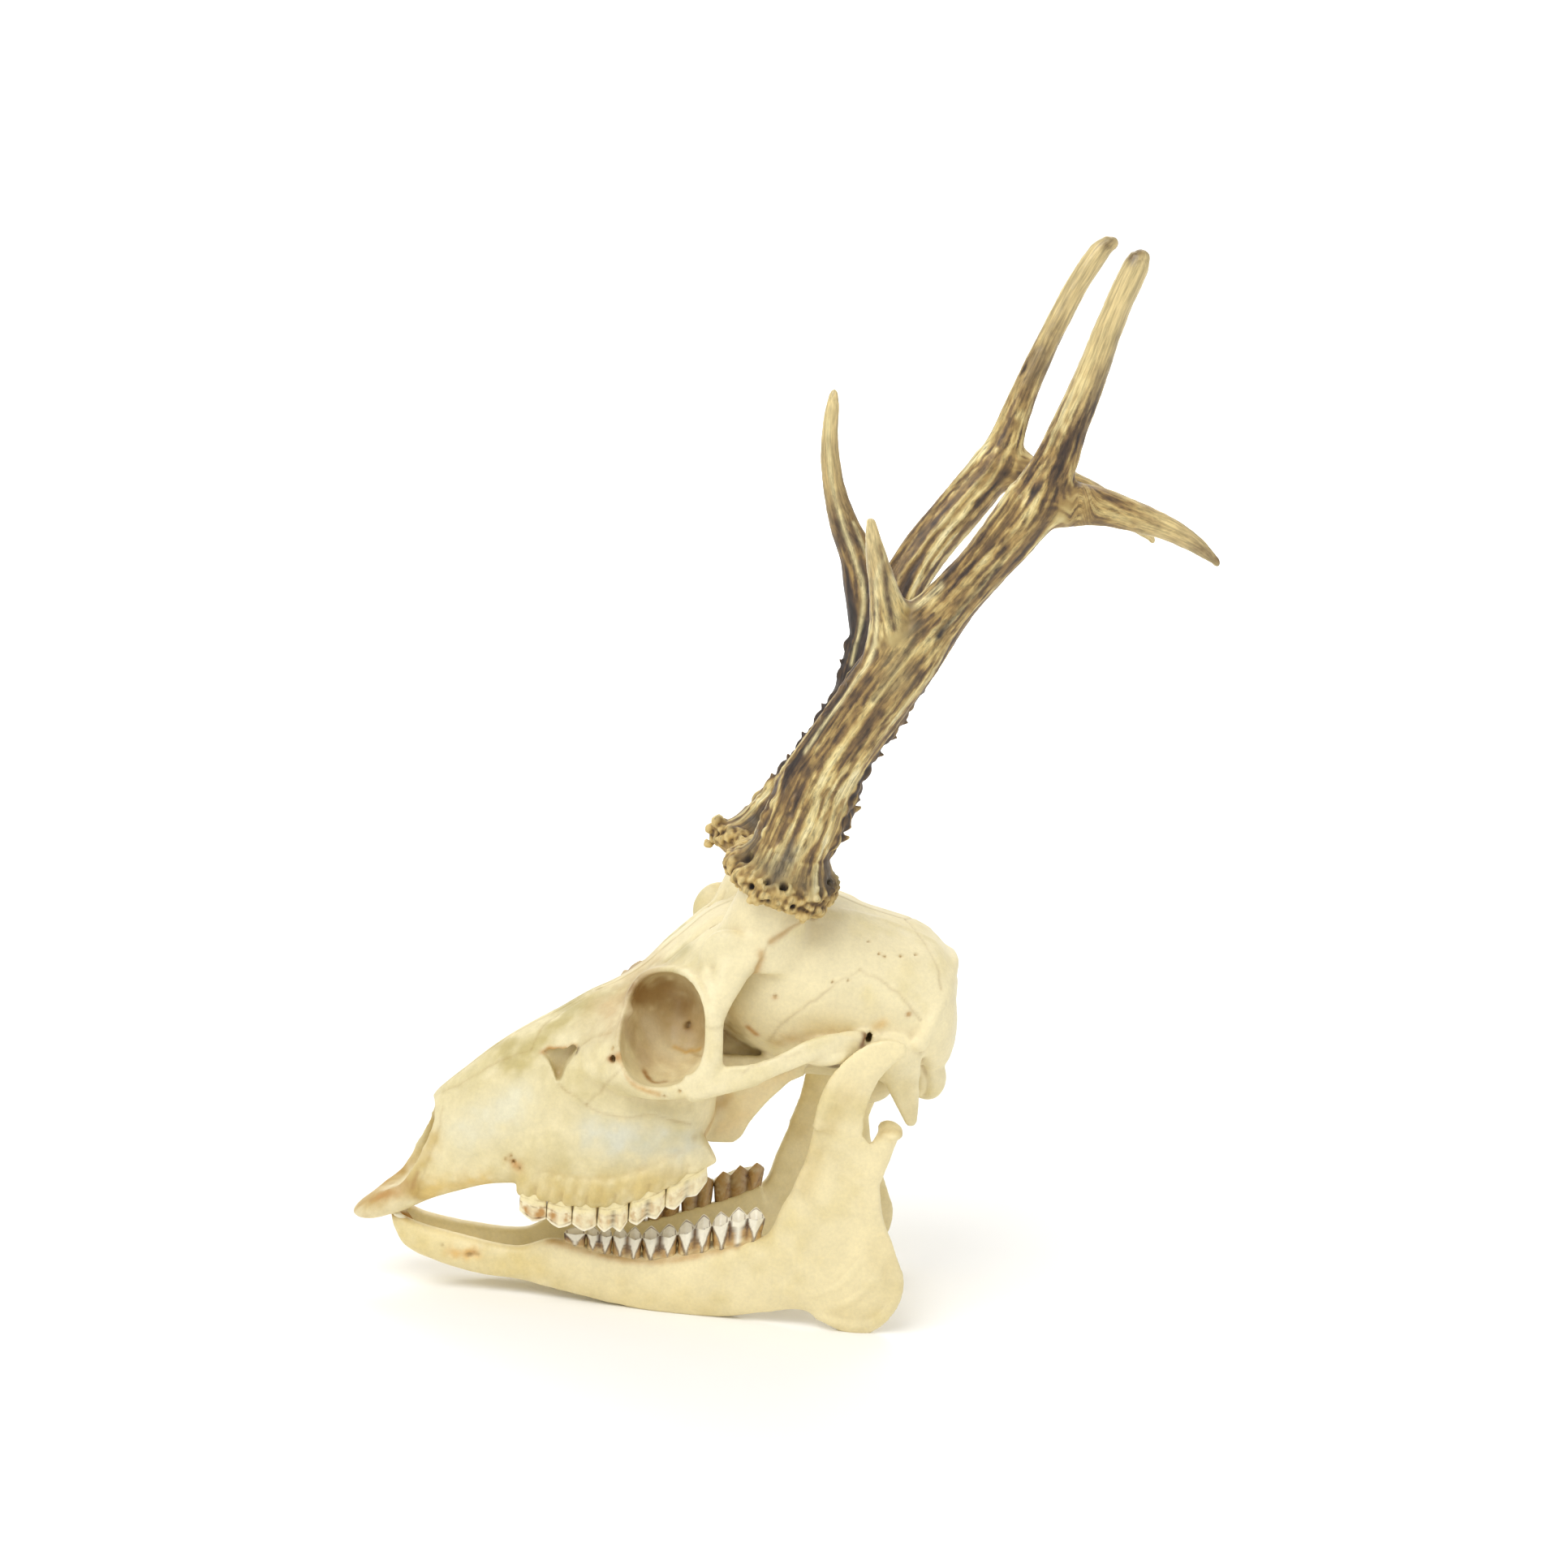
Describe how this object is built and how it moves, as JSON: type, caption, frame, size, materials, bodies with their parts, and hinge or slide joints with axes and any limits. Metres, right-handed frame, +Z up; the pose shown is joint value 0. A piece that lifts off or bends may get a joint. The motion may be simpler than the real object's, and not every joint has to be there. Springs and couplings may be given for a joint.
{
  "type": "roe deer skull",
  "caption": "Roe buck skull with antlers and lower jaw, cleaned and dry, standing on its jaw as a life-size model of animal remains",
  "frame": {"origin": "middle of the bounding box's footprint, on the surface that the lower jaw stands on", "axes": "+Z up, -X the way the skull faces, -Y the animal's left side"},
  "size_m": [0.263, 0.1036, 0.3577],
  "materials": {
    "skull_bone": "satin",
    "jaw_bone": "satin",
    "antler_burr": "matte",
    "antler_beam": "matte",
    "antler_tine": "satin"
  },
  "bodies": {
    "root": {"braincase": "skull_bone", "face": "skull_bone", "nasal_left": "skull_bone", "nasal_right": "skull_bone", "premaxilla_left": "skull_bone", "premaxilla_right": "skull_bone", "zygomatic_arch_left": "skull_bone", "zygomatic_arch_right": "skull_bone", "mandible_left": "jaw_bone", "mandible_right": "jaw_bone", "antler_left_burr": "antler_burr", "antler_left_beam": "antler_beam", "antler_left_front_tine": "antler_tine", "antler_left_rear_tine": "antler_tine", "antler_left_top_tine": "antler_tine", "antler_right_burr": "antler_burr", "antler_right_beam": "antler_beam", "antler_right_front_tine": "antler_tine", "antler_right_rear_tine": "antler_tine", "antler_right_top_tine": "antler_tine"}
  },
  "joints": []
}
